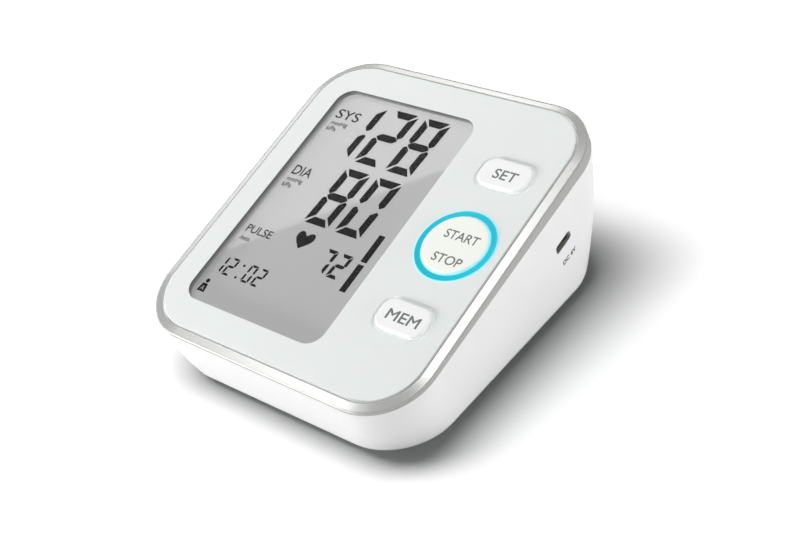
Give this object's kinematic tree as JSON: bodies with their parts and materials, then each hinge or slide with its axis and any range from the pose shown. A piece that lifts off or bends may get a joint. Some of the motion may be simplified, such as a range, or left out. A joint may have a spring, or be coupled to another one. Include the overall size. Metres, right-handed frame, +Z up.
{
  "type": "blood pressure monitor",
  "caption": "Wedge-shaped tabletop blood pressure monitor with a display window, a round start key in a lit ring and oblong set and memory keys.",
  "frame": {"origin": "middle of the case's footprint, on the table plane under the rubber feet", "axes": "+X to the user's right (power inlet side), +Y away from the user, up the slope of the face, +Z up"},
  "size_m": [0.1142, 0.1215, 0.0555],
  "materials": {
    "case_white": "smooth satin white plastic",
    "panel_grey": "very pale cool grey plastic, satin",
    "trim_silver": "silver-grey lacquered plastic",
    "lens_clear": "clear polished acrylic",
    "display_glass": "polarised glass",
    "reflector_foil": "pale grey foil",
    "tray_white": "moulded white plastic",
    "strip_rubber": "layered grey rubber",
    "board_green": "solder mask on glass-fibre board",
    "chip_black": "moulded black resin",
    "chip_tan": "ceramic",
    "screw_steel": "zinc plated",
    "key_white": "satin white plastic",
    "ring_blue": "clear blue light guide",
    "lamp_white": "white lamp body",
    "switch_black": "black switch body",
    "plunger_grey": "grey plastic pin",
    "foot_rubber": "soft grey rubber",
    "cell_sleeve": "printed sleeve without lettering",
    "contact_nickel": "nickel plated spring steel",
    "motor_steel": "plated steel can",
    "cap_black": "black plastic",
    "pump_plastic": "natural moulded plastic",
    "diaphragm_rubber": "black rubber",
    "tube_silicone": "milky silicone",
    "socket_grey": "grey plastic",
    "coil_copper": "enamelled copper wire",
    "lead_red": "red sleeve",
    "lead_black": "black sleeve"
  },
  "bodies": {
    "case": {"lower_housing": "case_white", "trim_ring": "trim_silver", "face_panel": "panel_grey", "display_lens": "lens_clear", "lcd_glass": "display_glass", "lcd_reflector": "reflector_foil", "lcd_frame": "tray_white", "contact_strips": "strip_rubber", "main_board": "board_green", "processor": "chip_black", "board_chips": "chip_tan", "buzzer": "chip_black", "board_screws": "screw_steel", "light_ring": "ring_blue", "ring_leds": "lamp_white", "key_switches": "switch_black", "case_screws": "screw_steel", "rubber_feet": "foot_rubber", "cells": "cell_sleeve", "contact_plates": "contact_nickel", "contact_springs": "contact_nickel", "motor_can": "motor_steel", "motor_cap": "cap_black", "pump_head": "pump_plastic", "pump_diaphragm": "diaphragm_rubber", "pump_cover": "pump_plastic", "pump_rings": "diaphragm_rubber", "pump_straps": "motor_steel", "air_socket": "socket_grey", "socket_nut": "pump_plastic", "air_manifold": "pump_plastic", "socket_tube": "tube_silicone", "pump_tube": "tube_silicone", "sensor_tube": "tube_silicone", "valve_tube": "tube_silicone", "pressure_sensor": "chip_black", "valve_yoke": "motor_steel", "valve_coil": "coil_copper", "valve_nozzle": "pump_plastic", "usb_shell": "screw_steel", "usb_tongue": "chip_black", "usb_board": "board_green", "battery_leads": "lead_red", "motor_leads": "lead_black", "valve_leads": "lead_black", "usb_leads": "lead_red"},
    "set_key": {"set_key": "key_white", "set_plunger": "plunger_grey"},
    "start_key": {"start_key": "key_white", "start_plunger": "plunger_grey"},
    "memory_key": {"memory_key": "key_white", "memory_plunger": "plunger_grey"},
    "battery_door": {"battery_door": "case_white"},
    "motor_rotor": {"motor_rotor": "motor_steel"},
    "valve_plunger": {"valve_plunger": "screw_steel"}
  },
  "joints": [
    {"name": "set_press", "type": "slide", "parent": "case", "child": "set_key", "axis": [0, 0.2487, -0.9686], "range_m": [0, 0.0007], "stiffness_N_per_m": 400, "springref_m": -0.0008},
    {"name": "start_press", "type": "slide", "parent": "case", "child": "start_key", "axis": [0, 0.2487, -0.9686], "range_m": [0, 0.0007], "stiffness_N_per_m": 400, "springref_m": -0.0008},
    {"name": "memory_press", "type": "slide", "parent": "case", "child": "memory_key", "axis": [0, 0.2487, -0.9686], "range_m": [0, 0.0007], "stiffness_N_per_m": 400, "springref_m": -0.0008},
    {"name": "battery_door_hinge", "type": "hinge", "parent": "case", "child": "battery_door", "pos_m": [0, 0.02285, 0.0012], "axis": [1, 0, 0], "range_deg": [0, 70]},
    {"name": "rotor_spin", "type": "hinge", "parent": "case", "child": "motor_rotor", "pos_m": [0, 0.0393, 0.0172], "axis": [1, 0, 0], "continuous": true},
    {"name": "valve_slide", "type": "slide", "parent": "case", "child": "valve_plunger", "axis": [0, -1, 0], "range_m": [0, 0.0008], "stiffness_N_per_m": 120, "springref_m": -0.0008}
  ]
}
